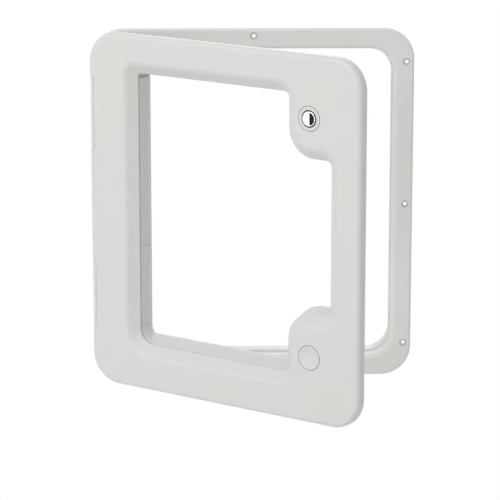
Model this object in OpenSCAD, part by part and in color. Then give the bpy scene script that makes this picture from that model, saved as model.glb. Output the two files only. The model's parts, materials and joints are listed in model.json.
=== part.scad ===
// Outside door of a caravan toilet cassette: a wall frame with a hinged bezel door,
// a key lock with a push button above and a plain push button below.
// Millimetres. X runs to the right, Y runs into the wall, Z is up.
// The origin lies on the back face of the flange, on the centre line of its bottom rail.

/* [Wall frame] */
// Outside width of the flange
frame_w = 341; // [320:1:420]
// Outside height of the flange
frame_h = 381; // [360:1:480]
// Outside corner radius of the flange
frame_r = 32.5; // [28:0.5:40]
// Width of the flange and collar, from the outside edge to the clear opening
ring_w = 22; // [20:0.5:28]
// Corner radius of the clear opening
opening_r = 26; // [22:0.5:32]
// Thickness of the flange
flange_t = 4; // [3:0.5:6]
// Rounding of the flange's outside edge
flange_edge_r = 3; // [1.5:0.5:3]
// Rounding from the flange down into the collar
lead_r = 5; // [3:0.5:6]
// Wall thickness of the collar
collar_t = 3; // [2.5:0.5:4]
// How far the collar reaches into the wall, behind the flange
collar_d = 36; // [28:1:60]
// Screw holes, distance of their centres from the outside edge
screw_inset = 8; // [7:0.5:9]
// Screw holes, bore diameter
screw_d = 4.2; // [3.5:0.1:5]
// Screw holes, diameter of the countersink
screw_head_d = 8; // [7:0.5:9]
// Height of the outer screws of each side, above and below the middle
screw_rise = 154.5; // [130:0.5:156]

/* [Collar seal] */
// Width of the seal strip
seal_w = 5; // [3:0.5:8]
// How far the seal stands out of its groove
seal_proud = 1.2; // [0.5:0.1:2]
// Depth of the seal's groove in the collar wall
seal_groove = 1; // [0.5:0.1:1.5]
// Distance of the seal behind the flange's back face
seal_back = 12; // [8:0.5:20]

/* [Door] */
// How far the door's edge stands past the flange all round
door_over = 0.5; // [0:0.1:1]
// Height of the door's front face above the wall
door_front = 18; // [17:0.5:22]
// Height of the bezel's rear edge above the wall
rim_back = 5.5; // [5:0.1:7]
// Skin thickness of the bezel
skin = 3; // [2.5:0.1:3.5]
// Rounding of the bezel's front outside edge
edge_r = 5; // [4:0.5:6]
// Rounding of the bezel's rear outside edge
heel_r = 2.4; // [1:0.1:2.5]
// Depth of the rolled edge round the opening
roll_d = 12; // [10:0.5:12]
// Radius of the bend in the rolled edge
roll_r = 9; // [6:0.5:10]
// Height of the upright land at the foot of the rolled edge
roll_land = 1; // [0.5:0.1:2]
// Width of the hinge side of the door, to the opening
stile_l = 57; // [50:1:70]
// Width of the lock side of the door, to the opening
stile_r = 41; // [38:1:60]
// Width of the door's top rail
rail_t = 41; // [38:1:60]
// Width of the door's bottom rail
rail_b = 47; // [38:1:60]
// Corner radius of the opening at the top of the hinge side
corner_t = 3; // [2:0.5:12]
// Corner radius of the opening at the bottom of the hinge side
corner_b = 17.5; // [8:0.5:18]
// Width of the two lock housings, from the lock side's edge of the opening
housing_w = 51.7; // [46:0.1:60]
// Height of the two lock housings, from the top or bottom edge of the opening
housing_h = 66; // [60:1:80]
// Rounding of the housings' free corner
housing_r = 31; // [20:1:40]
// Rounding where a housing meets a rail or the lock side
nook_r = 6.5; // [4:0.5:10]
// Angle that the door stands open
door_open = 36; // [0:1:79]

/* [Inner frame] */
// Gap between the inner frame and the collar
box_gap = 3; // [2.5:0.1:5]
// Wall thickness of the inner frame
box_t = 2.5; // [2:0.1:3]
// How far the inner frame reaches behind the flange's back face
box_back = 14; // [12:0.5:24]
// Width of the slot for the wall panel, behind the rolled edge
panel_slot = 1; // [0.5:0.5:6]

/* [Retainer strips] */
// Thickness of the strips
strip_t = 2.2; // [1.5:0.1:3]
// How far the sills below the panel lean into the opening
sill_in = 6.5; // [3:0.5:9]
// How far the sill round the lower housing leans into the opening
housing_sill = 3; // [2:0.5:6]
// How far the strips' rear rim stands into the opening
rim_in = 1; // [0.5:0.1:2]
// Height of the notch for the panel's catch, at the top of the left strips
notch_h = 6; // [4:0.5:10]
// Depth of the joint between the two left strips, below the door's middle
left_joint = 38; // [20:1:60]
// Length of the corner strip up the left side, from the opening's bottom edge
corner_up = 19; // [18:0.5:40]
// Length of the corner strip along the bottom, from the opening's left edge
corner_along = 73.5; // [40:0.5:90]
// Length of the middle one of the bottom strips
bottom_strip = 70; // [40:1:80]
// Slant of the joints in the bottom strips, from their front end to their rear end
joint_slant = 13; // [0:1:16]

/* [Hinges] */
// Distance of the hinge axis from the flange's outside edge
hinge_in = 3.5; // [3:0.1:4]
// Height of the hinge axis above the wall
hinge_up = 10; // [9.5:0.1:11]
// Length of a hinge
hinge_len = 78; // [60:1:100]
// Height of the upper hinge's middle above the door's middle
hinge_rise_t = 104; // [80:1:120]
// Depth of the lower hinge's middle below the door's middle
hinge_rise_b = 94; // [80:1:120]
// Diameter of the hinge pins
pin_d = 3; // [2:0.5:4]

/* [Locks] */
// Distance of the key lock's centre from the flange's outside edge
lock_in = 61.3; // [58:0.1:64]
// Distance of the push button's centre from the flange's outside edge
button_in = 60; // [58:0.1:64]
// Depth of the key lock's centre below the flange's top edge
lock_down = 64; // [60:0.5:72]
// Height of the push button's centre above the flange's bottom edge
button_up = 69; // [64:0.5:76]
// Diameter of the push buttons
button_d = 25.4; // [22:0.2:28]
// Rounding of the buttons' front edge and of their holes in the bezel
button_edge = 0.8; // [0.4:0.1:1]
// Radius of the push button's dished front
dish_r = 36; // [30:1:60]
// Depth of the push button's dished front
dish_depth = 1.5; // [0.5:0.1:2]
// Diameter of the key cylinder
plug_d = 18; // [16:0.5:19]
// Diameter of the cylinder's raised face
face_d = 15.4; // [13:0.1:15.6]
// Height of the window in the face, over the key slot
window_h = 12.4; // [8:0.1:13]
// Travel of the push buttons
button_travel = 3.5; // [2:0.5:4]
// Travel of the latch bolts
bolt_travel = 6; // [4:0.5:8]
// Width of a latch bolt
bolt_w = 22; // [16:1:26]
// Thickness of a latch bolt
bolt_t = 6; // [4:0.5:7]

/* [Hidden] */
$fn = 48;

// The origin sits this far above the flange's bottom edge
seat_up = 14;
mid_z = frame_h / 2 - seat_up;
// Small overlap that joins swept edges to flat plates
lap = 1;
// Running gap of a sliding part in its guide
slide_gap = 0.3;
// Gap between two retainer strips, and how far they end before the inner frame's rear face
strip_gap = 0.3;
strip_short = 1;
// Gap of a piece that is pressed or snapped into its seat
seat_gap = 0.1;
// Radial gap of the hinge pins in the turning knuckles, and in the fixed lugs
pin_gap = 0.05;
pin_seat = 0.02;
// Fixed lugs and turning knuckles of the hinges
lug_d = 6.4;
lug_len = 8;
lug_web = 4;
knuckle_gap = 0.5;
// Lowest point of a cap above the hinge axis
cap_rise = 4.6;
// Hinge caps: width, set-back from the door's edge, gap to the bezel, foot under its skin
cap_w = 7;
cap_in = 0.8;
cap_gap = 0.3;
foot_w = 17;
foot_t = 3;

// Half sizes, from the centre line and the middle of the flange
half_w = frame_w / 2;
half_h = frame_h / 2;
axis_x = -half_w + hinge_in;
door_l = -half_w - door_over;
cap_floor = hinge_up + cap_rise;
// Centres of the key lock and the push button, as [x, z]
lock_at = [half_w - lock_in, half_h - lock_down];
button_at = [half_w - button_in, -half_h + button_up];
box_half_w = half_w - ring_w - box_gap;
box_half_h = half_h - ring_w - box_gap;
// The rolled edge: a bend of 45 degrees, a flank as steep, and the land
seam = door_front - roll_d;
bend_w = roll_r * sin(45);
roll_w = bend_w + roll_d - roll_land - roll_r + bend_w;
strip_front = seam - panel_slot;
strip_rear = -box_back + strip_short;
rim_front = strip_rear + strip_t;
// Buttons: proud of the bezel, rear edge, floor that carries the key cylinder
button_proud = 0.2;
button_rear = 3;
plug_floor = 6;
guide_t = 2;
// Key cylinder: proud of the bezel, foot of the raised face, its window and the shutter in it
face_proud = 0.8;
face_foot = 16.4;
face_rim = 0.9;
window_in = 0.8;
window_floor = 15.8;
shutter_front = 17.6;
// Shank behind the cylinder and the cam on its end
shank_d = 10;
cam_d = 9;
cam_t = 1.5;
cam_arm = 5.2;
cam_arm_w = 4.4;
// Lock cases: wall, room in front of the wall that the bolt passes, reach behind the lock's centre
case_wall = 2;
case_gap = 0.2;
case_rear = 18;
// The latch bolts slide in the cases, near the back of the inner frame
plate_top = -box_back + box_t;
bolt_floor = plate_top + case_wall + case_gap;
bolt_top = bolt_floor + bolt_t;
bolt_short = 0.5;
bolt_tip = half_w - ring_w + collar_t - bolt_short;
bolt_rear = 7;
strike_room = 4;
strike_play = 1;
strike_h = bolt_w + 2 * strike_room;
// Two wedges under each button draw the bolt back, bolt_travel for button_travel
draw = bolt_travel / button_travel;
wedge_in = 6;
wedge_t = 2.5;
wedge_nose = 2;
wedge_tip = plate_top + button_travel + slide_gap;
wedge_top = bolt_top + button_travel + slide_gap;
wedge_lead = (draw * (wedge_top - wedge_tip) - wedge_nose) / 2;
// Where the slanted face of a wedge stands at height w, from the lock's centre
function wedge_x(w) = wedge_lead - draw * (w - wedge_tip);

// Outlines are lists of [x, z, corner radius], anticlockwise seen from the front
function rectangle(hw, hh, r) = [[-hw, -hh, r], [hw, -hh, r], [hw, hh, r], [-hw, hh, r]];
function unit(p, q) = [sign(q[0] - p[0]), sign(q[1] - p[1])];
function before(v, i) = unit(v[(i + len(v) - 1) % len(v)], v[i]);
function after(v, i) = unit(v[i], v[(i + 1) % len(v)]);
function turn(a, b) = a[0] * b[1] - a[1] * b[0];
function place(v, i) = [v[i][0], v[i][1]];
// From a corner to the centre of its rounding
function inset(v, i) = v[i][2] * (after(v, i) - before(v, i));
// The same outline, moved outwards by d
function grown(v, d) = [for (i = [0:len(v) - 1])
    let (a = before(v, i), b = after(v, i))
    [v[i][0] + d * (a[1] + b[1]), v[i][1] - d * (a[0] + b[0]), v[i][2] + d * turn(a, b)]];

flange_line = rectangle(half_w, half_h, frame_r);
clear_line = rectangle(half_w - ring_w, half_h - ring_w, opening_r);
box_line = rectangle(box_half_w, box_half_h, opening_r - box_gap);
door_line = grown(flange_line, door_over);
open_l = -half_w + stile_l;
open_r = half_w - stile_r;
open_t = half_h - rail_t;
open_b = -half_h + rail_b;
housing_x = open_r - housing_w;
// The door's opening, with the two lock housings standing into it on the right
seam_line = [
    [open_l, open_b, corner_b],
    [housing_x, open_b, nook_r],
    [housing_x, open_b + housing_h, housing_r],
    [open_r, open_b + housing_h, nook_r],
    [open_r, open_t - housing_h, nook_r],
    [housing_x, open_t - housing_h, housing_r],
    [housing_x, open_t, nook_r],
    [open_l, open_t, corner_t],
];

// Stands a shape drawn from the front upright: heights above the wall run towards -Y
module upright() {
    translate([0, 0, mid_z]) rotate([90, 0, 0]) children();
}

// Carries the door's shapes, drawn shut, to the open door
module on_door() {
    translate([axis_x, -hinge_up, 0])
        rotate([0, 0, -door_open])
            translate([-axis_x, hinge_up, 0])
                upright()
                    children();
}

// A flat area inside an outline, with its corners rounded
module area(v) {
    difference() {
        union() {
            polygon([for (i = [0:len(v) - 1]) place(v, i)]);
            for (i = [0:len(v) - 1])
                if (turn(before(v, i), after(v, i)) < 0) corner(v, i);
        }
        for (i = [0:len(v) - 1])
            if (turn(before(v, i), after(v, i)) > 0) corner(v, i);
    }
}

// What the rounding takes off a corner, or adds in a nook
module corner(v, i) {
    s = inset(v, i);
    translate(place(v, i))
        difference() {
            translate([min(0, s[0]), min(0, s[1])]) square(v[i][2]);
            translate(s) circle(v[i][2]);
        }
}

// Sweeps a profile round an outline: its X points outwards, its Y is height
module sweep(v) {
    for (i = [0:len(v) - 1]) {
        b = after(v, i);
        j = (i + 1) % len(v);
        from = place(v, i) + v[i][2] * b;
        bend(v, i) children();
        straight(from, b, norm(place(v, j) - v[j][2] * b - from)) children();
    }
}

// Turns a profile round one corner of an outline
module bend(v, i) {
    a = before(v, i);
    b = after(v, i);
    left = turn(a, b) > 0;
    translate(place(v, i) + inset(v, i))
        rotate([0, 0, left ? atan2(-b[1], -b[0]) : atan2(a[1], a[0])])
            rotate_extrude(angle = 90)
                translate([v[i][2], 0]) mirror([left ? 0 : 1, 0]) children();
}

// A straight stretch of a swept profile, from a point along direction b
module straight(from, b, run) {
    translate(from)
        rotate([90, 0, atan2(b[1], b[0]) - 90])
            translate([0, 0, -run]) linear_extrude(run) children();
}

// A quarter of a disc or ring round [x, y], in the quadrant that sx and sy point to
module quarter(x, y, r, sx, sy, hollow = 0) {
    translate([x, y])
        intersection() {
            difference() {
                circle(r);
                if (hollow > 0) circle(hollow);
            }
            translate([min(0, sx * r), min(0, sy * r)]) square(r);
        }
}

// A disc from height w0 to w1, with its front edge rounded
module disc(d, w0, w1, r) {
    rotate_extrude() {
        translate([0, w0]) square([d / 2, w1 - w0 - r]);
        translate([0, w0]) square([d / 2 - r, w1 - w0]);
        quarter(d / 2 - r, w1 - r, r, 1, 1);
    }
}

// A plate of thickness t across the door, from points in X and height
module side_plate(t, points) {
    translate([0, t / 2, 0]) rotate([90, 0, 0]) linear_extrude(t) polygon(points);
}

module collar_profile() {
    difference() {
        union() {
            translate([0, -collar_d]) square([collar_t, collar_d + flange_t - lead_r]);
            quarter(lead_r, flange_t - lead_r, lead_r, -1, 1);
            translate([lead_r, 0]) square([lap, flange_t]);
        }
        translate([0, -seal_back - seal_w]) square([seal_groove, seal_w]);
    }
}

module flange_edge_profile() {
    translate([-flange_edge_r, 0]) square([flange_edge_r, flange_t - flange_edge_r]);
    quarter(-flange_edge_r, flange_t - flange_edge_r, flange_edge_r, 1, 1);
    translate([-flange_edge_r - lap, 0]) square([lap, flange_t]);
}

module screw_hole(x, z) {
    head = (screw_head_d - screw_d) / 2;
    translate([x, z, -lap]) cylinder(d = screw_d, h = flange_t + 2 * lap);
    translate([x, z, flange_t - head])
        cylinder(d1 = screw_d, d2 = screw_head_d, h = head);
    translate([x, z, flange_t]) cylinder(d = screw_head_d, h = lap);
}

module wall_frame() {
    side = half_w - screw_inset;
    end = half_h - screw_inset;
    color([0.84, 0.83, 0.81]) upright() {
        difference() {
            union() {
                linear_extrude(flange_t)
                    difference() {
                        area(grown(flange_line, -flange_edge_r));
                        area(grown(clear_line, lead_r));
                    }
                sweep(flange_line) flange_edge_profile();
                sweep(clear_line) collar_profile();
            }
            for (x = [-side, side])
                for (z = [-screw_rise, 0, screw_rise]) screw_hole(x, z);
            for (z = [-end, end]) screw_hole(0, z);
            for (at = [lock_at, button_at])
                translate([half_w - ring_w - lap, at[1] - strike_h / 2, bolt_floor - strike_play])
                    cube([collar_t + 2 * lap, strike_h, bolt_t + 2 * strike_play]);
        }
    }
}

module seal_profile() {
    translate([-seal_proud, -seal_back - seal_w + seat_gap])
        square([seal_proud + seal_groove - seat_gap, seal_w - 2 * seat_gap]);
}

module collar_seal() {
    color([0.72, 0.72, 0.71]) upright() sweep(clear_line) seal_profile();
}

// A round bar on the hinge axis, with its middle at height z
module on_axis(z, d, h) {
    translate([axis_x, z + h / 2, hinge_up]) rotate([90, 0, 0]) cylinder(d = d, h = h);
}

// Two lugs that rise from the flange to the hinge axis
module hinge_lugs(z) {
    offset_z = hinge_len / 2 - knuckle_gap - lug_len / 2;
    color([0.8, 0.79, 0.77]) upright()
        difference() {
            for (end = [-offset_z, offset_z]) {
                on_axis(z + end, lug_d, lug_len);
                translate([axis_x - lug_web / 2, z + end - lug_len / 2, flange_t])
                    cube([lug_web, lug_len, hinge_up - flange_t]);
            }
            on_axis(z, pin_d + 2 * pin_seat, hinge_len + 2 * lap);
        }
}

module hinge_pin(z) {
    color([0.7, 0.7, 0.7]) upright() on_axis(z, pin_d, hinge_len - 2 * knuckle_gap);
}

// Section of the bezel's outside edge
module rim_profile() {
    difference() {
        union() {
            translate([-skin, rim_back]) square([skin, door_front - edge_r - rim_back]);
            quarter(-edge_r, door_front - edge_r, edge_r, 1, 1, edge_r - skin);
            translate([-edge_r - lap, door_front - skin]) square([lap, skin]);
        }
        translate([-heel_r, rim_back])
            difference() {
                translate([0, -lap]) square([heel_r + lap, heel_r + lap]);
                translate([0, heel_r]) circle(heel_r);
            }
    }
}

// Section of the rolled edge round the opening, to depth d under its outer face
module roll_area(d, foot) {
    rise = (roll_r - d) * sin(45);
    tip = [roll_w - rise, door_front - roll_r + rise];
    polygon([[tip[0] - tip[1] + foot, foot], tip, [roll_w + d, tip[1] - rise], [roll_w + d, foot]]);
    quarter(roll_w, door_front - roll_r, roll_r - d, -1, 1);
}

module roll_profile() {
    difference() {
        union() {
            roll_area(0, seam + roll_land);
            translate([0, seam]) square([roll_w, roll_land]);
        }
        roll_area(skin, seam - lap);
    }
    translate([roll_w, door_front - skin]) square([lap, skin]);
}

module hinge_notch(z) {
    translate([door_l - lap, z - hinge_len / 2, rim_back - lap])
        cube([cap_w + lap, hinge_len, door_front]);
}

// Hole for a push button, with its front edge rounded
module button_hole() {
    r = button_d / 2 + slide_gap;
    cylinder(r = r, h = door_front + lap);
    rotate_extrude()
        difference() {
            translate([r - lap, door_front - button_edge]) square([button_edge + lap, button_edge + lap]);
            translate([r + button_edge, door_front - button_edge]) circle(button_edge);
        }
}

module button_guide() {
    translate([0, 0, seam])
        difference() {
            cylinder(d = button_d + 2 * slide_gap + 2 * guide_t, h = roll_d - skin / 2);
            translate([0, 0, -lap]) cylinder(d = button_d + 2 * slide_gap, h = roll_d + lap);
        }
}

module door_bezel() {
    color([0.9, 0.89, 0.87]) on_door() {
        difference() {
            union() {
                translate([0, 0, door_front - skin]) linear_extrude(skin)
                    difference() {
                        area(grown(door_line, -edge_r));
                        area(grown(seam_line, roll_w));
                    }
                sweep(door_line) rim_profile();
                sweep(seam_line) roll_profile();
            }
            for (at = [lock_at, button_at]) translate(at) button_hole();
            hinge_notch(hinge_rise_t);
            hinge_notch(-hinge_rise_b);
        }
        for (at = [lock_at, button_at]) translate(at) button_guide();
    }
}

module inner_frame() {
    color([0.86, 0.85, 0.83]) on_door()
        difference() {
            union() {
                translate([0, 0, -box_back]) linear_extrude(box_t)
                    difference() {
                        area(box_line);
                        area(grown(seam_line, strip_t + slide_gap));
                    }
                translate([0, 0, -box_back]) linear_extrude(box_back + door_front - skin)
                    difference() {
                        area(box_line);
                        area(grown(box_line, -box_t));
                    }
                translate([0, 0, -box_back]) linear_extrude(box_back + strip_front)
                    difference() {
                        area(grown(seam_line, strip_t + slide_gap + box_t));
                        area(grown(seam_line, strip_t + slide_gap));
                    }
            }
            // Relief under the bend of the bezel's rolled edge
            translate([0, 0, door_front - skin - slide_gap])
                linear_extrude(skin) area(grown(seam_line, roll_w));
            for (at = [lock_at, button_at])
                translate([box_half_w - box_t - lap, at[1] - bolt_w / 2 - slide_gap, bolt_floor - slide_gap])
                    cube([box_t + 2 * lap, bolt_w + 2 * slide_gap, bolt_t + 2 * slide_gap]);
        }
}

// Section of the hinge cap: the bezel's edge, set back a little and filled to the cap's width
module cap_profile() {
    r = edge_r - cap_in;
    intersection() {
        union() {
            translate([cap_gap - cap_w, 0]) square([cap_w - cap_gap - edge_r, door_front]);
            translate([-edge_r, 0]) square([r, door_front - r]);
            quarter(-edge_r, door_front - r, r, 1, 1);
        }
        translate([-cap_w, cap_floor]) square([cap_w, door_front - cap_floor]);
    }
}

// The hinge cap closes the bezel's notch and carries the turning knuckle
module hinge_cap(z) {
    inner = hinge_len - 2 * lug_len - 4 * knuckle_gap;
    color([0.88, 0.87, 0.85]) on_door()
        difference() {
            union() {
                straight([door_l, z + hinge_len / 2 - cap_gap], [0, -1], hinge_len - 2 * cap_gap)
                    cap_profile();
                on_axis(z, lug_d, inner);
                translate([axis_x, z - inner / 2, hinge_up])
                    cube([door_l + cap_w - cap_gap - axis_x, inner, door_front - skin - hinge_up]);
                translate([axis_x, z - inner / 2, door_front - skin - foot_t])
                    cube([foot_w, inner, foot_t]);
            }
            on_axis(z, pin_d + 2 * pin_gap, hinge_len);
        }
}

// Leg of a retainer strip, against the inner frame
module leg_profile() {
    translate([0, strip_rear]) square([strip_t, strip_front - strip_rear]);
}

// Leg with the rim that stops the panel at the rear
module rim_strip_profile() {
    leg_profile();
    polygon([
        [lap, rim_front + rim_in + lap], [-rim_in, rim_front], [-rim_in, strip_rear], [lap, strip_rear],
    ]);
}

// Sill below the panel: a face that leans into the opening by reach, and its rim
module sill_profile(reach = sill_in) {
    edge = -reach - rim_in;
    polygon([
        [0, strip_front], [-reach, rim_front + rim_in], [edge, rim_front], [edge, strip_rear],
        [edge + strip_t, strip_rear], [strip_t - reach, rim_front + rim_in], [strip_t, strip_front],
    ]);
}

// Cuts what reaches past the strips' outside
module inside_strips() {
    intersection() {
        children();
        translate([0, 0, -box_back])
            linear_extrude(box_back + door_front) area(grown(seam_line, strip_t / 2));
    }
}

// A strip on the left side, from z0 down to z1
module strip_down(z0, z1) {
    straight([open_l, z0], [0, -1], z0 - z1) rim_strip_profile();
}

// End of a bottom strip at height w: slanting where slant is 1, upright and out of the way where it is 0
function end_x(x, w, slant) =
    x - slant * joint_slant * (strip_front - w) / (strip_front - strip_rear);

// A strip with its sill along the bottom, from x0 to x1 at the front
module strip_along(x0, x1, slant0, slant1) {
    front = strip_front + lap;
    rear = strip_rear - lap;
    a = x0 - (1 - slant0) * lap;
    b = x1 + (1 - slant1) * lap;
    from = x0 - slant0 * (joint_slant + lap);
    intersection() {
        straight([from, open_b], [1, 0], x1 + slant1 * lap - from) {
            leg_profile();
            sill_profile();
        }
        translate([0, open_b, 0])
            side_plate(2 * (sill_in + rim_in + strip_t), [
                [end_x(a, rear, slant0), rear], [end_x(b, rear, slant1), rear],
                [end_x(b, front, slant1), front], [end_x(a, front, slant0), front],
            ]);
    }
}

module retainer_left_upper() {
    color([0.83, 0.82, 0.8]) on_door()
        difference() {
            strip_down(open_t - strip_gap, -left_joint + strip_gap);
            translate([open_l - strip_t - lap, open_t - notch_h, rim_front])
                cube([strip_t + rim_in + 2 * lap, notch_h, door_front]);
            translate([open_l - strip_t - lap, open_t - corner_t, -box_back])
                cube([strip_t / 2 + lap, corner_t, door_front + box_back]);
        }
}

module retainer_left_middle() {
    color([0.83, 0.82, 0.8]) on_door() strip_down(-left_joint, open_b + corner_up + strip_gap);
}

module retainer_corner() {
    color([0.83, 0.82, 0.8]) on_door() {
        strip_down(open_b + corner_up, open_b + corner_b);
        bend(seam_line, 0) rim_strip_profile();
        strip_along(open_l + corner_b, open_l + corner_along, 0, 1);
        inside_strips()
            straight([open_l - strip_t, open_b], [1, 0], corner_b + strip_t + lap) sill_profile();
    }
}

module retainer_bottom_middle() {
    x = open_l + corner_along + strip_gap;
    color([0.83, 0.82, 0.8]) on_door() strip_along(x, x + bottom_strip, 1, 1);
}

module retainer_bottom_right() {
    x0 = open_l + corner_along + bottom_strip + 2 * strip_gap;
    x1 = housing_x - nook_r;
    color([0.83, 0.82, 0.8]) on_door() {
        strip_along(x0, x1, 1, 0);
        inside_strips() straight([x1 - lap, open_b], [1, 0], nook_r) sill_profile();
    }
}

// Plain strip along the top edge
module retainer_top() {
    x = open_l + corner_t;
    color([0.83, 0.82, 0.8]) on_door()
        straight([housing_x - nook_r, open_t], [-1, 0], housing_x - nook_r - x) leg_profile();
}

// Strip up the lock side from the lower housing, and its sill round the housing's top
module retainer_right() {
    z0 = open_b + housing_h;
    z1 = open_b + sill_in + 2 * rim_in + strip_gap;
    color([0.83, 0.82, 0.8]) on_door() {
        straight([open_r, z0 + nook_r], [0, 1], open_t - housing_h - z0 - 2 * nook_r)
            rim_strip_profile();
        bend(seam_line, 3) rim_strip_profile();
        straight([housing_x + housing_r, z0], [1, 0], housing_w - housing_r - nook_r) {
            leg_profile();
            sill_profile(housing_sill);
        }
        inside_strips()
            straight([open_r - nook_r - lap, z0], [1, 0], nook_r + lap + strip_t) sill_profile(housing_sill);
        bend(seam_line, 2) {
            leg_profile();
            sill_profile(housing_sill);
        }
        straight([housing_x, z1], [0, 1], z0 - housing_r - z1) {
            leg_profile();
            sill_profile(housing_sill);
        }
    }
}

// Case that guides a latch bolt, with a well for the wedges
module lock_case(at) {
    x0 = at[0] - case_rear;
    length = box_half_w - box_t - case_gap - x0;
    channel = bolt_w + 2 * slide_gap;
    width = channel + 2 * case_wall;
    well = 2 * (wedge_in + wedge_t + 2 * slide_gap);
    well_rear = bolt_rear + bolt_travel;
    well_front = wedge_lead + wedge_nose + bolt_travel + case_wall;
    color([0.78, 0.77, 0.75]) on_door()
        difference() {
            translate([x0, at[1] - width / 2, plate_top])
                cube([length, width, bolt_top + slide_gap + case_wall - plate_top]);
            translate([x0 + case_wall, at[1] - channel / 2, bolt_floor - slide_gap])
                cube([length, channel, bolt_t + 2 * slide_gap]);
            translate([at[0] - well_rear, at[1] - well / 2, plate_top - lap])
                cube([well_rear + well_front, well, bolt_top + button_rear - plate_top + 2 * lap]);
        }
}

// Latch bolt with a bevelled nose and two slots, whose slanted ends the wedges push back
module latch(at) {
    slot = wedge_lead + wedge_nose + bolt_travel + slide_gap;
    nose = bolt_t - strike_play;
    color([0.75, 0.74, 0.72]) on_door()
        translate(at)
            difference() {
                side_plate(bolt_w, [
                    [-bolt_rear, bolt_floor], [bolt_tip - at[0] - nose, bolt_floor],
                    [bolt_tip - at[0], bolt_top - strike_play], [bolt_tip - at[0], bolt_top],
                    [-bolt_rear, bolt_top],
                ]);
                for (side = [-1, 1])
                    translate([0, side * (wedge_in + wedge_t / 2), 0])
                        side_plate(wedge_t + 2 * slide_gap, [
                            [wedge_x(bolt_floor - lap) - slide_gap, bolt_floor - lap],
                            [slot, bolt_floor - lap],
                            [slot, bolt_top + lap],
                            [wedge_x(bolt_top + lap) - slide_gap, bolt_top + lap],
                        ]);
            }
}

module wedges(top) {
    for (side = [-1, 1])
        translate([0, side * (wedge_in + wedge_t / 2), 0])
            side_plate(wedge_t, [
                [wedge_lead, wedge_tip], [wedge_lead + wedge_nose, wedge_tip],
                [wedge_lead + wedge_nose, top], [wedge_x(wedge_top), top],
                [wedge_x(wedge_top), wedge_top],
            ]);
}

module lock_button() {
    color([0.89, 0.88, 0.86]) on_door()
        translate(lock_at) {
            difference() {
                disc(button_d, button_rear, door_front + button_proud, button_edge);
                translate([0, 0, plug_floor]) cylinder(d = plug_d + 2 * pin_gap, h = door_front);
                cylinder(d = shank_d + 2 * pin_gap, h = door_front);
            }
            wedges(button_rear + lap);
        }
}

module push_button() {
    roof = door_front - dish_depth - skin;
    color([0.89, 0.88, 0.86]) on_door()
        translate(button_at) {
            difference() {
                disc(button_d, button_rear, door_front + button_proud, button_edge);
                cylinder(d = button_d - 2 * skin, h = roof);
                translate([0, 0, door_front - dish_depth + dish_r]) sphere(dish_r, $fn = 96);
            }
            wedges(roof + lap);
        }
}

// Window in the face of the key cylinder, to the right of its middle
module window(gap) {
    intersection() {
        circle(face_d / 2 - face_rim - gap);
        translate([window_in + gap, gap - window_h / 2]) square([face_d / 2, window_h - 2 * gap]);
    }
}

module key_plug() {
    foot = plug_floor + seat_gap;
    shank = button_rear - seat_gap;
    color([0.8, 0.8, 0.82]) on_door()
        translate(lock_at)
            difference() {
                union() {
                    translate([0, 0, foot]) cylinder(d = plug_d, h = face_foot - foot);
                    translate([0, 0, shank]) cylinder(d = shank_d, h = foot + lap - shank);
                    disc(face_d, face_foot - lap, door_front + face_proud, button_edge);
                }
                translate([0, 0, window_floor]) linear_extrude(door_front) window(0);
            }
}

module key_shutter() {
    color([0.15, 0.05, 0.06]) on_door()
        translate([lock_at[0], lock_at[1], window_floor])
            linear_extrude(shutter_front - window_floor) window(seat_gap);
}

module key_cam() {
    color([0.6, 0.6, 0.62]) on_door()
        translate([lock_at[0], lock_at[1], button_rear - seat_gap - cam_t]) {
            cylinder(d = cam_d, h = cam_t);
            translate([-cam_arm_w / 2, 0, 0]) cube([cam_arm_w, cam_arm, cam_t]);
        }
}

wall_frame();
collar_seal();
hinge_lugs(hinge_rise_t);  // hinge_lugs_upper
hinge_lugs(-hinge_rise_b);  // hinge_lugs_lower
hinge_pin(hinge_rise_t);  // hinge_pin_upper
hinge_pin(-hinge_rise_b);  // hinge_pin_lower
door_bezel();
inner_frame();
hinge_cap(hinge_rise_t);  // hinge_cap_upper
hinge_cap(-hinge_rise_b);  // hinge_cap_lower
retainer_left_upper();
retainer_left_middle();
retainer_corner();
retainer_bottom_middle();
retainer_bottom_right();
retainer_top();
retainer_right();
lock_case(lock_at);  // lock_case_upper
lock_case(button_at);  // lock_case_lower
lock_button();
key_plug();
key_shutter();
key_cam();
push_button();
latch(lock_at);  // latch_upper
latch(button_at);  // latch_lower
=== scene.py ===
import json
import math

import bmesh
import bpy
from mathutils import Matrix, Vector


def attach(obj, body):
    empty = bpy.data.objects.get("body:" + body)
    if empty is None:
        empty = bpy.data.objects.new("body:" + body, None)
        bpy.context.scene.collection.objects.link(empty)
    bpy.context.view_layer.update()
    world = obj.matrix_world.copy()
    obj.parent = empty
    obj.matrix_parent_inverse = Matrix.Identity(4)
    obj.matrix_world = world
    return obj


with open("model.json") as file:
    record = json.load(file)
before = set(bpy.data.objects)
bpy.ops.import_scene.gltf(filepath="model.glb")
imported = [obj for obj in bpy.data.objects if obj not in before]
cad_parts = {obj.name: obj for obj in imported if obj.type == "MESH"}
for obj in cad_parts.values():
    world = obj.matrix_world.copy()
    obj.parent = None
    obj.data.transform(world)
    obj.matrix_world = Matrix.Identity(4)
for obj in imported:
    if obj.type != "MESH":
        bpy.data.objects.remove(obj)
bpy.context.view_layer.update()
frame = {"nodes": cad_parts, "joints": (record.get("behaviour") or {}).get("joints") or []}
nodes = frame["nodes"]
joints = {joint["name"]: joint for joint in frame["joints"]}


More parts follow.
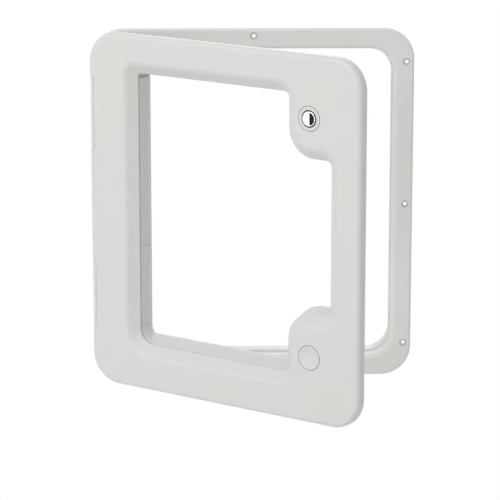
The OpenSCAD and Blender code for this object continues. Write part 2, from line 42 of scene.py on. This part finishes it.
# Wall frame
# One injection moulding in pale weatherproof plastic: a flange screwed to the outside of the caravan's wall,
# and a collar that lines the cut-out. The tool's eroded skin leaves a fine satin grain, and the countersinks
# of the screw holes are darkened with dirt and painted shade.
class Value:
    """A socket in a node tree, with which maths is written as plain expressions."""

    def __init__(self, graph, socket):
        self.graph = graph
        self.socket = socket

    def __add__(self, other):
        return self.graph.maths("ADD", self, other)

    def __radd__(self, other):
        return self.graph.maths("ADD", other, self)

    def __sub__(self, other):
        return self.graph.maths("SUBTRACT", self, other)

    def __rsub__(self, other):
        return self.graph.maths("SUBTRACT", other, self)

    def __mul__(self, other):
        return self.graph.maths("MULTIPLY", self, other)

    def __abs__(self):
        return self.graph.maths("ABSOLUTE", self)


class Graph:
    """A node tree. Every node in it comes from its node method."""

    def __init__(self, owner):
        owner.use_nodes = True
        self.tree = owner.node_tree

    def node(self, kind, settings, inputs, output=0):
        made = self.tree.nodes.new("ShaderNode" + kind)
        for name, setting in settings.items():
            setattr(made, name, setting)
        for name, value in inputs.items():
            self.put(made.inputs[name], value)
        return Value(self, made.outputs[output])

    def put(self, socket, value):
        if isinstance(value, Value):
            self.tree.links.new(value.socket, socket)
        else:
            socket.default_value = value

    def maths(self, operation, *terms):
        return self.node("Math", {"operation": operation}, dict(enumerate(terms)))


class Finish(Graph):
    """A procedural material round one shader."""

    def __init__(self, name, **constants):
        self.material = bpy.data.materials.new(name)
        super().__init__(self.material)
        self.shader = self.tree.nodes["Principled BSDF"]
        self.feed(**constants)

    def feed(self, **sockets):
        for name, value in sockets.items():
            self.put(self.shader.inputs[name.replace("_", " ")], value)

    def place(self, moved=(0.0, 0.0, 0.0), turned=(0.0, 0.0, 0.0), scale=(1.0, 1.0, 1.0)):
        """Coordinates on the piece, in metres unless they are scaled."""
        found = self.node("TexCoord", {}, {}, "Object")
        fitting = {"Vector": found, "Location": moved, "Rotation": turned, "Scale": scale}
        return self.node("Mapping", {}, fitting)

    def seen_from_front(self, place):
        """The same coordinates with the depth left out."""
        return self.node("VectorMath", {"operation": "MULTIPLY"}, {0: place, 1: (1.0, 0.0, 1.0)})

    def along(self, place, axis):
        return self.node("SeparateXYZ", {}, {"Vector": place}, axis)

    def apart(self, place, point):
        return self.node("VectorMath", {"operation": "DISTANCE"}, {0: place, 1: point}, "Value")

    def nearest(self, place, points):
        """The distance to whichever of the points is nearest."""
        least = self.apart(place, points[0])
        for point in points[1:]:
            least = self.maths("MINIMUM", least, self.apart(place, point))
        return least

    def noise(self, place, scale, detail=2.0):
        return self.node("TexNoise", {}, {"Vector": place, "Scale": scale, "Detail": detail})

    def fade(self, value, start, end):
        """0 up to the start, 1 from the end, and a smooth rise between them."""
        limits = {"Value": value, "From Min": start, "From Max": end}
        return self.node("MapRange", {"interpolation_type": "SMOOTHSTEP"}, limits)

    def blend(self, factor, first, second):
        first, second = (shade if isinstance(shade, Value) else (*shade, 1.0) for shade in (first, second))
        return self.node("Mix", {"data_type": "RGBA"}, {"Factor": factor, 6: first, 7: second}, 2)

    def bump(self, height, strength, distance):
        return self.node("Bump", {}, {"Height": height, "Strength": strength, "Distance": distance})


MM = 0.001
FLOW_SCALE = 11.0
AGE_SCALE = 3.1
GRAIN_SCALE = 2200.0
GRAIN_HEIGHT = 0.05 * MM
GRAIN_STRENGTH = 0.22
AGED = (0.985, 0.982, 0.955)
# The darker shade that dirt and painted shade are blended towards.
SOILED_AND_SHADED = (0.40, 0.39, 0.37)
PLASTIC_IOR = 1.5


def tinted(shade, tint):
    """The shade with each of its parts cut to a share."""
    return tuple(part * share for part, share in zip(shade, tint))


def moulded(finish, place, shade, roughness, grime_and_shade=0.0, rubbed=0.0):
    """Satin plastic: flow marks, a little ageing and grain, darker with grime and painted shade, smoother
    where rubbed.
    """
    flow = finish.noise(place, FLOW_SCALE, 3.0)
    age = finish.noise(place, AGE_SCALE, 1.0)
    speck = finish.noise(place, GRAIN_SCALE)
    yellowed = finish.fade(flow * 0.55 + age * 0.45, 0.35, 0.68)
    colour = finish.blend(yellowed, shade, tinted(shade, AGED))
    relief = speck * (1.0 - rubbed * 0.6) + flow * 0.6
    finish.feed(
        Base_Color=finish.blend(speck * 0.05 + grime_and_shade, colour, tinted(shade, SOILED_AND_SHADED)),
        Roughness=roughness - 0.05 + speck * 0.08 + flow * 0.03 - rubbed * 0.1,
        Normal=finish.bump(relief, GRAIN_STRENGTH, GRAIN_HEIGHT),
        IOR=PLASTIC_IOR,
    )


def dress(finish, *names):
    """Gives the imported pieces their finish."""
    for name in names:
        nodes[name].data.materials.clear()
        nodes[name].data.materials.append(finish.material)


FRAME_SHADE = (0.862, 0.868, 0.853)
FRAME_ROUGHNESS = 0.44
MID_HEIGHT = joints["door_hinge"]["pos_m"][2]
SIDE_SCREW_X = 162.5 * MM
OUTER_SCREW_Z = 154.5 * MM
END_SCREW_Z = 182.5 * MM
SCREW_HOLES = [(SIDE_SCREW_X, 0.0, 0.0), (SIDE_SCREW_X, 0.0, OUTER_SCREW_Z), (0.0, 0.0, END_SCREW_Z)]
COUNTERSINK_R = 4.0 * MM
COUNTERSINK_DIRT_AND_SHADE = 0.5

frame_plastic = Finish("frame_plastic")
frame_place = frame_plastic.place(moved=(0.0, 0.0, -MID_HEIGHT))
quarter = frame_plastic.node("VectorMath", {"operation": "ABSOLUTE"}, {0: frame_place})
to_screw = frame_plastic.nearest(frame_plastic.seen_from_front(quarter), SCREW_HOLES)
# Dirt and painted shade in the countersinks of the screw holes.
clear_of_countersinks = frame_plastic.fade(to_screw, COUNTERSINK_R * 0.9, COUNTERSINK_R * 1.1)
moulded(frame_plastic, frame_place, FRAME_SHADE, FRAME_ROUGHNESS, grime_and_shade=(1.0 - clear_of_countersinks) * COUNTERSINK_DIRT_AND_SHADE)
dress(frame_plastic, "wall_frame", "hinge_lugs_upper", "hinge_lugs_lower")


# Collar seal
# A strip of pale grey rubber with a soft matt skin, pushed into the groove inside the collar. Its surface is
# slightly bloomed and uneven.
RUBBER_CLEAN = (0.84, 0.84, 0.82)
RUBBER_BLOOMED = (0.76, 0.76, 0.75)
BLOOM_SCALE = 40.0
RUBBER_GRAIN_SCALE = 900.0

seal_rubber = Finish("seal_rubber", Specular_IOR_Level=0.35)
rubber_place = seal_rubber.place()
bloom = seal_rubber.noise(rubber_place, BLOOM_SCALE, 4.0)
rubber_grain = seal_rubber.noise(rubber_place, RUBBER_GRAIN_SCALE)
seal_rubber.feed(
    Base_Color=seal_rubber.blend(bloom, RUBBER_CLEAN, RUBBER_BLOOMED),
    Roughness=bloom * 0.15 + 0.68,
    Normal=seal_rubber.bump(rubber_grain, 0.3, 0.08 * MM),
)
dress(seal_rubber, "collar_seal")


# Hinge pins and lock cam
# Drawn steel rods, pressed into the fixed lugs, and the small steel cam on the lock's tail. Faint draw marks
# run along them, and their skin is dulled by the weather.
STEEL_BRIGHT = (0.62, 0.62, 0.61)
STEEL_DULL = (0.45, 0.44, 0.42)
DRAW_MARK_SCALE = 3200.0
DRAW_MARK_STRETCH = (1.0, 1.0, 0.02)
TARNISH_SCALE = 120.0

pin_steel = Finish("pin_steel", Metallic=1.0)
draw_marks = pin_steel.noise(pin_steel.place(scale=DRAW_MARK_STRETCH), DRAW_MARK_SCALE)
tarnish = pin_steel.noise(pin_steel.place(), TARNISH_SCALE, 3.0)
pin_steel.feed(
    Base_Color=pin_steel.blend(tarnish, STEEL_BRIGHT, STEEL_DULL),
    Roughness=draw_marks * 0.2 + tarnish * 0.1 + 0.22,
    Normal=pin_steel.bump(draw_marks, 0.25, 0.02 * MM),
)
dress(pin_steel, "hinge_pin_upper", "hinge_pin_lower", "key_cam")


# Door bezel and hinge caps
# The wide front moulding with the rolled edge round its opening, and the two caps that snap into its hinge
# side, in the same near-white plastic. It is rubbed smooth by hands round the locks, and the narrow gaps
# round the buttons are darkened with painted shade.
hinge = joints["door_hinge"]
to_hinge = Matrix.Translation(Vector(hinge["pos_m"]))
swing = Matrix.Rotation(math.radians(hinge["range_deg"][0]), 4, Vector(hinge["axis"]))
SHUT = to_hinge @ swing @ to_hinge.inverted()
OPEN = SHUT.inverted()


def shut_box(name):
    """Lowest and highest corners of a door node, with the door carried back to shut."""
    points = [SHUT @ vert.co for vert in nodes[name].data.vertices]
    low = Vector(min(point[axis] for point in points) for axis in range(3))
    high = Vector(max(point[axis] for point in points) for axis in range(3))
    return low, high


def door_place(finish):
    """Coordinates that follow the shut door: X across it, Y into the wall, Z up."""
    return finish.place(moved=SHUT.translation, turned=SHUT.to_euler())


BEZEL_SHADE = (0.805, 0.811, 0.799)
BEZEL_ROUGHNESS = 0.42
KEY_LOCK = SHUT @ Vector(joints["key_turn"]["pos_m"])
button_low, button_high = shut_box("push_button")
PUSH_BUTTON = (button_low + button_high) / 2
BUTTON_R = (button_high.z - button_low.z) / 2
BUTTON_CENTRES = [(KEY_LOCK.x, 0.0, KEY_LOCK.z), (PUSH_BUTTON.x, 0.0, PUSH_BUTTON.z)]
GAP_HALF = 0.2 * MM
GAP_SHADE_REACH = 0.7 * MM
GAP_SHADE = 0.22
HAND_REACH = 45.0 * MM

bezel_plastic = Finish("bezel_plastic")
bezel_place = door_place(bezel_plastic)
to_button = bezel_plastic.nearest(bezel_plastic.seen_from_front(bezel_place), BUTTON_CENTRES)
# Painted shade: the bezel is darker in the narrow gaps round the buttons.
clear_of_gaps = bezel_plastic.fade(abs(to_button - BUTTON_R), GAP_HALF, GAP_SHADE_REACH)
gap_shade = (1.0 - clear_of_gaps) * GAP_SHADE
hand_polish = 1.0 - bezel_plastic.fade(to_button, BUTTON_R, HAND_REACH)
moulded(bezel_plastic, bezel_place, BEZEL_SHADE, BEZEL_ROUGHNESS, grime_and_shade=gap_shade, rubbed=hand_polish)
dress(bezel_plastic, "door_bezel", "hinge_cap_upper", "hinge_cap_lower")


# Stiffening ribs
# Thin gussets moulded inside the bezel, between its outer rim and the wall of the inner frame. They taper
# towards the rim and stop short of the flange.
RIB_T = 1.8 * MM
RIB_EDGE = 0.3 * MM
RIB_PITCH = 38.0 * MM
RIBS_BESIDE_MIDDLE = 3
BEZEL_SKIN = 3.0 * MM
RIB_INNER_REACH = 6.0 * MM
RIB_OUTER_REACH = 3.5 * MM
RIB_BITE = 0.3 * MM

bezel_low, bezel_high = shut_box("door_bezel")
inner_low, inner_high = shut_box("inner_frame")
middle = (bezel_low + bezel_high) / 2
rib_roof = bezel_low.y + BEZEL_SKIN - RIB_BITE


def picked(items, kind):
    """The vertices, edges or faces among what an operator made."""
    return [item for item in items if isinstance(item, kind)]


def add_rib(shape, root, out):
    """Adds a gusset that starts at root on the inner frame's wall and points out to the bezel's rim."""
    from_middle = abs((root - middle).dot(out))
    wall = from_middle - RIB_BITE
    rim = abs((bezel_high - middle).dot(out)) - BEZEL_SKIN + RIB_BITE
    side = Vector((out.z, 0.0, -out.x))
    start = root - out * from_middle - side * RIB_T / 2
    profile = [(wall, 0.0), (rim, 0.0), (rim, RIB_OUTER_REACH), (wall, RIB_INNER_REACH)]
    face = shape.faces.new([
        shape.verts.new(start + out * run + Vector((0.0, rib_roof + drop, 0.0))) for run, drop in profile
    ])
    pulled = bmesh.ops.extrude_face_region(shape, geom=[face])["geom"]
    bmesh.ops.translate(shape, verts=picked(pulled, bmesh.types.BMVert), vec=side * RIB_T)


def finished(name, shape, finish, body):
    """Makes an object from a shape drawn on the shut door, in its finish, and lets it ride on a body."""
    bmesh.ops.transform(shape, matrix=OPEN, verts=shape.verts)
    bmesh.ops.recalc_face_normals(shape, faces=shape.faces)
    mesh = bpy.data.meshes.new(name)
    shape.to_mesh(mesh)
    shape.free()
    mesh.materials.append(finish.material)
    obj = bpy.data.objects.new(name, mesh)
    bpy.context.scene.collection.objects.link(obj)
    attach(obj, body)


ribs = bmesh.new()
for step in range(-RIBS_BESIDE_MIDDLE, RIBS_BESIDE_MIDDLE + 1):
    across = middle.x + step * RIB_PITCH
    up = middle.z + step * RIB_PITCH
    add_rib(ribs, Vector((inner_high.x, 0.0, up)), Vector((1.0, 0.0, 0.0)))
    add_rib(ribs, Vector((across, 0.0, inner_high.z)), Vector((0.0, 0.0, 1.0)))
    add_rib(ribs, Vector((across, 0.0, inner_low.z)), Vector((0.0, 0.0, -1.0)))
bmesh.ops.bevel(ribs, geom=list(ribs.edges), offset=RIB_EDGE, segments=1, profile=0.5, affect="EDGES",
                material=-1)
finished("bezel_ribs", ribs, bezel_plastic, "door")


# Inner frame, retainer strips and lock cases
# The box behind the bezel that enters the collar, the strips that line the opening, and the cases of the two
# latches. They are duller mouldings in the same plastic, screwed and clipped together from behind.
INNER_SHADE = (0.80, 0.806, 0.79)
INNER_ROUGHNESS = 0.5

inner_plastic = Finish("inner_plastic")
moulded(inner_plastic, door_place(inner_plastic), INNER_SHADE, INNER_ROUGHNESS)
dress(inner_plastic, "inner_frame", "retainer_left_upper", "retainer_left_middle", "retainer_corner",
      "retainer_bottom_middle", "retainer_bottom_right", "retainer_top", "retainer_right", "lock_case_upper",
      "lock_case_lower")


# Assembly screws
# Zinc-plated pan-head screws with a cross recess, driven from behind through the inner frame's rear plate
# into the bezel. The plating has a fine crystalline bloom.
HEAD_R = 3.2 * MM
HEAD_H = 1.9 * MM
CROWN = 0.7 * MM
HEAD_CELLS = 8
RECESS_D = 1.1 * MM
RECESS_ARM_HALF = 0.2
RECESS_ARM_REACH = 0.65
RECESS_TAPER = 0.8
SCREW_PLACES = [
    (-130.7, 120.0), (-130.7, 5.0), (-130.7, -110.0), (-60.0, 158.7), (30.0, 158.7), (100.0, 154.0),
    (138.7, 45.0), (138.7, -40.0), (100.0, -153.0), (20.0, -155.7), (-70.0, -155.7),
]
ZINC_BRIGHT = (0.72, 0.71, 0.66)
ZINC_DULL = (0.52, 0.52, 0.50)
CRYSTAL_SCALE = 700.0


def in_recess(face):
    """True for a face of the flat grid that lies in the cross."""
    near, far = sorted(abs(part) for part in face.calc_center_median().xy)
    return near < RECESS_ARM_HALF and far < RECESS_ARM_REACH


def screw_head(shape, centre):
    """Adds a pan head with a cross recess, its flat side down on centre and its crown towards +Y."""
    grid = bmesh.ops.create_grid(shape, x_segments=HEAD_CELLS, y_segments=HEAD_CELLS, size=1.0)
    crown = grid["verts"]
    for vert in crown:
        u, v = vert.co.xy
        vert.co.x = u * math.sqrt(1 - v * v / 2)
        vert.co.y = v * math.sqrt(1 - u * u / 2)
    faces = list(dict.fromkeys(face for vert in crown for face in vert.link_faces))
    edges = dict.fromkeys(edge for face in faces for edge in face.edges)
    rim = [edge for edge in edges if len(edge.link_faces) == 1]
    recess = [face for face in faces if in_recess(face)]
    for vert in crown:
        height = HEAD_H - CROWN * vert.co.xy.length_squared
        vert.co = Vector((vert.co.x * HEAD_R, vert.co.y * HEAD_R, height))
    side = bmesh.ops.extrude_edge_only(shape, edges=rim)["geom"]
    foot = picked(side, bmesh.types.BMVert)
    for vert in foot:
        vert.co.z = 0.0
    side_edges = picked(side, bmesh.types.BMEdge)
    foot_edges = [edge for edge in side_edges if all(vert in foot for vert in edge.verts)]
    bmesh.ops.contextual_create(shape, geom=foot_edges)
    sunk = bmesh.ops.extrude_face_region(shape, geom=recess)["geom"]
    bmesh.ops.delete(shape, geom=recess, context="FACES_ONLY")
    recess_floor = picked(sunk, bmesh.types.BMVert)
    for vert in recess_floor:
        vert.co = Vector((vert.co.x * RECESS_TAPER, vert.co.y * RECESS_TAPER, HEAD_H - RECESS_D))
    seated = Matrix.Translation(centre) @ Matrix.Rotation(math.radians(-90), 4, "X")
    bmesh.ops.transform(shape, matrix=seated, verts=[*crown, *foot, *recess_floor])


zinc_plate = Finish("zinc_plate", Metallic=1.0)
crystals = zinc_plate.noise(zinc_plate.place(), CRYSTAL_SCALE, 3.0)
zinc_plate.feed(
    Base_Color=zinc_plate.blend(crystals, ZINC_BRIGHT, ZINC_DULL),
    Roughness=crystals * 0.25 + 0.22,
    Normal=zinc_plate.bump(crystals, 0.2, 0.03 * MM),
)
screws = bmesh.new()
for across, up in SCREW_PLACES:
    screw_head(screws, Vector((across * MM, inner_high.y, middle.z + up * MM)))
finished("assembly_screws", screws, zinc_plate, "door")


# Buttons
# The lock's ring and the dished push button, moulded in the bezel's plastic and polished by fingers. Each
# slides in the bore of its housing, and its side is darkened with painted shade.
BUTTON_ROUGHNESS = 0.38
SIDE_SHADE = 0.3
SIDE_SHADE_REACH = 0.7 * MM

button_plastic = Finish("button_plastic")
button_place = door_place(button_plastic)
from_axis = button_plastic.nearest(button_plastic.seen_from_front(button_place), BUTTON_CENTRES)
# Painted shade on the side of each button, where it sits in its bore.
side_shade = button_plastic.fade(from_axis, BUTTON_R - SIDE_SHADE_REACH, BUTTON_R) * SIDE_SHADE
finger_polish = 1.0 - button_plastic.fade(from_axis, 0.0, BUTTON_R)
moulded(button_plastic, button_place, BEZEL_SHADE, BUTTON_ROUGHNESS, grime_and_shade=side_shade, rubbed=finger_polish)
dress(button_plastic, "lock_button", "push_button")


# Key cylinder
# A chromed die casting with a polished face, held in the upper button. Fine marks fan out from its middle,
# worn into the chrome by use.
CHROME = (0.93, 0.935, 0.93)
CHROME_WORN = (0.42, 0.48, 0.45)
RAY_COUNT = 18.0
RAY_WEAR = 0.8
SCUFF_SCALE = 800.0

key_chrome = Finish("key_chrome", Metallic=1.0)
chrome_place = door_place(key_chrome)
beside = key_chrome.along(chrome_place, "X") - KEY_LOCK.x
above = key_chrome.along(chrome_place, "Z") - KEY_LOCK.z
angle = key_chrome.maths("ARCTAN2", above, beside)
scuffs = key_chrome.noise(chrome_place, SCUFF_SCALE, 3.0)
rays = key_chrome.fade(key_chrome.maths("SINE", angle * RAY_COUNT) + scuffs * 0.5, 0.3, 1.2)
key_chrome.feed(
    Base_Color=key_chrome.blend(rays * RAY_WEAR, CHROME, CHROME_WORN),
    Roughness=rays * 0.1 + scuffs * 0.06 + 0.05,
    Normal=key_chrome.bump(rays + scuffs * 0.3, 0.12, 0.03 * MM),
)
dress(key_chrome, "key_plug")


# Cylinder shade ring
# A black ring in the gap round the cylinder's face, a dark part put there as painted shade for that gap.
# Its front edges are eased.
SHADE_RING_INNER_R = 7.72 * MM
SHADE_RING_OUTER_R = 8.95 * MM
SHADE_RING_FOOT = 1.6 * MM
SHADE_RING_TOP = 0.45 * MM
SHADE_RING_EASE = 0.3 * MM
SHADE_RING_STEPS = 64
SHADE_RING_PROFILE = [
    (SHADE_RING_INNER_R, SHADE_RING_FOOT),
    (SHADE_RING_INNER_R, SHADE_RING_TOP + SHADE_RING_EASE),
    (SHADE_RING_INNER_R + SHADE_RING_EASE, SHADE_RING_TOP),
    (SHADE_RING_OUTER_R - SHADE_RING_EASE, SHADE_RING_TOP),
    (SHADE_RING_OUTER_R, SHADE_RING_TOP + SHADE_RING_EASE),
    (SHADE_RING_OUTER_R, SHADE_RING_FOOT),
]
SHADE_RING_BLACK = (0.035, 0.04, 0.04)
SHADE_RING_GREYED = (0.07, 0.075, 0.075)
GREYING_SCALE = 300.0

gap_shade_black = Finish("gap_shade_black", Specular_IOR_Level=0.3)
greying = gap_shade_black.noise(gap_shade_black.place(), GREYING_SCALE, 3.0)
gap_shade_black.feed(
    Base_Color=gap_shade_black.blend(greying, SHADE_RING_BLACK, SHADE_RING_GREYED),
    Roughness=greying * 0.2 + 0.5,
    Normal=gap_shade_black.bump(greying, 0.3, 0.05 * MM),
)
# A dark ring in the gap round the cylinder's face, standing in for its shade.
shade_ring = bmesh.new()
ring = [
    shade_ring.verts.new(Vector((KEY_LOCK.x + radius, bezel_low.y + depth, KEY_LOCK.z)))
    for radius, depth in SHADE_RING_PROFILE
]
loop = [shade_ring.edges.new(pair) for pair in zip(ring, ring[1:] + ring[:1])]
bmesh.ops.spin(shade_ring, geom=ring + loop, cent=(KEY_LOCK.x, 0.0, KEY_LOCK.z), axis=(0.0, 1.0, 0.0),
               angle=math.tau, steps=SHADE_RING_STEPS, use_merge=True)
finished("cylinder_shade_ring", shade_ring, gap_shade_black, "key_cylinder")


# Key shutter
# The sprung dust shutter in the cylinder's half-round window, a small moulding in dark plastic with a trace
# of red.
SHUTTER_BLACK = (0.012, 0.004, 0.006)
SHUTTER_RED = (0.05, 0.012, 0.018)
HAZE_SCALE = 420.0

shutter_dark = Finish("shutter_dark", Specular_IOR_Level=0.12)
haze = shutter_dark.noise(door_place(shutter_dark), HAZE_SCALE)
shutter_dark.feed(
    Base_Color=shutter_dark.blend(shutter_dark.fade(haze, 0.4, 0.65), SHUTTER_BLACK, SHUTTER_RED),
    Roughness=haze * 0.25 + 0.2,
    Normal=shutter_dark.bump(haze, 0.2, 0.05 * MM),
)
dress(shutter_dark, "key_shutter")


# Latch bolts
# Self-lubricating white plastic, smooth from the mould, with faint scuffs along the way that they slide.
# They run in the two cases and are drawn back by the buttons' wedges.
LATCH_CLEAN = (0.82, 0.82, 0.80)
LATCH_SCUFFED = (0.74, 0.74, 0.72)
SLIDE_MARK_SCALE = 260.0

latch_plastic = Finish("latch_plastic", IOR=1.48)
slide_marks = latch_plastic.noise(latch_plastic.place(turned=SHUT.to_euler()), SLIDE_MARK_SCALE)
scuffed = latch_plastic.fade(slide_marks, 0.45, 0.7)
latch_plastic.feed(
    Base_Color=latch_plastic.blend(scuffed, LATCH_CLEAN, LATCH_SCUFFED),
    Roughness=scuffed * 0.15 + 0.28,
    Normal=latch_plastic.bump(slide_marks, 0.12, 0.04 * MM),
)
dress(latch_plastic, "latch_upper", "latch_lower")


# Camera
# A long lens at the photograph's viewpoint: a little to the left of the door and above it, tilted down. Its
# place and its lens were fitted to the edges of the frame and of the open door.
PHOTO_SIDE = 500
FOCAL_PX = 2644.1
SENSOR_MM = 36.0
EYE = Vector((-0.05386, -2.77408, 0.79559))
TILT_DOWN = 0.237
PAN = -0.018

camera_data = bpy.data.cameras.new("studio_camera")
camera_data.sensor_width = SENSOR_MM
camera_data.lens = FOCAL_PX / PHOTO_SIDE * SENSOR_MM
camera_data.clip_start = 0.05
camera_data.clip_end = 60.0
camera = bpy.data.objects.new("studio_camera", camera_data)
camera.location = EYE
camera.rotation_euler = (math.pi / 2 - TILT_DOWN, 0.0, PAN)
bpy.context.scene.collection.objects.link(camera)
bpy.context.scene.camera = camera
bpy.context.scene.view_settings.view_transform = "Standard"


# Studio
# A pale floor well below the door, pale surroundings and soft lamps. To the camera and in reflections the
# floor and the surroundings are white, and on the object their light is plain.
FLOOR_Z = -0.45
FLOOR_HALF = 9.0
FLOOR_SHADE = 0.85
FLOOR_ROUGHNESS = 0.9
SURROUND_LIGHT = 0.42
WHITE = (1.0, 1.0, 1.0, 1.0)
AIM = Vector((0.0, -0.08, 0.18))
LAMP_SIZE = 1.8
LAMPS = {
    "side_lamp": ((-2.3, -1.7, 0.2), 11.0),
    "key_lamp": ((-1.7, -1.7, 1.7), 22.0),
    "fill_lamp": ((2.0, -1.8, 0.4), 3.0),
    "top_lamp": ((0.2, -0.6, 2.6), 10.0),
    "rear_lamp": ((0.6, 2.4, 0.9), 14.0),
}


def white_where_seen(graph, plain, kind, end):
    """White to the camera, a reflection or clear glass, and the plain shader's light everywhere else."""
    seen = graph.node("LightPath", {}, {}, "Is Camera Ray")
    for ray in ("Is Glossy Ray", "Is Transmission Ray"):
        seen = graph.maths("MAXIMUM", seen, graph.node("LightPath", {}, {}, ray))
    white = graph.node(kind, {}, {"Color": WHITE, "Strength": 1.0})
    shown = graph.node("MixShader", {}, {0: seen, 1: Value(graph, plain.outputs[0]), 2: white})
    graph.put(graph.tree.nodes[end].inputs["Surface"], shown)


floor_shape = bmesh.new()
bmesh.ops.create_grid(floor_shape, x_segments=1, y_segments=1, size=FLOOR_HALF)
bmesh.ops.translate(floor_shape, verts=floor_shape.verts, vec=(0.0, 0.0, FLOOR_Z))
floor_mesh = bpy.data.meshes.new("studio_floor")
floor_shape.to_mesh(floor_mesh)
floor_shape.free()
floor_colour = (FLOOR_SHADE, FLOOR_SHADE, FLOOR_SHADE, 1.0)
floor_paint = Finish("studio_floor", Base_Color=floor_colour, Roughness=FLOOR_ROUGHNESS)
white_where_seen(floor_paint, floor_paint.shader, "Emission", "Material Output")
floor_mesh.materials.append(floor_paint.material)
floor = bpy.data.objects.new("studio_floor", floor_mesh)
bpy.context.scene.collection.objects.link(floor)

world = bpy.data.worlds.new("studio")
bpy.context.scene.world = world
surroundings = Graph(world)
surround = surroundings.tree.nodes["Background"]
surroundings.put(surround.inputs["Color"], WHITE)
surroundings.put(surround.inputs["Strength"], SURROUND_LIGHT)
white_where_seen(surroundings, surround, "Background", "World Output")

for name, (stand, watts) in LAMPS.items():
    lamp_data = bpy.data.lights.new(name, "AREA")
    lamp_data.shape = "SQUARE"
    lamp_data.size = LAMP_SIZE
    lamp_data.energy = watts
    lamp = bpy.data.objects.new(name, lamp_data)
    lamp.location = stand
    lamp.rotation_euler = (AIM - Vector(stand)).to_track_quat("-Z", "Y").to_euler()
    bpy.context.scene.collection.objects.link(lamp)
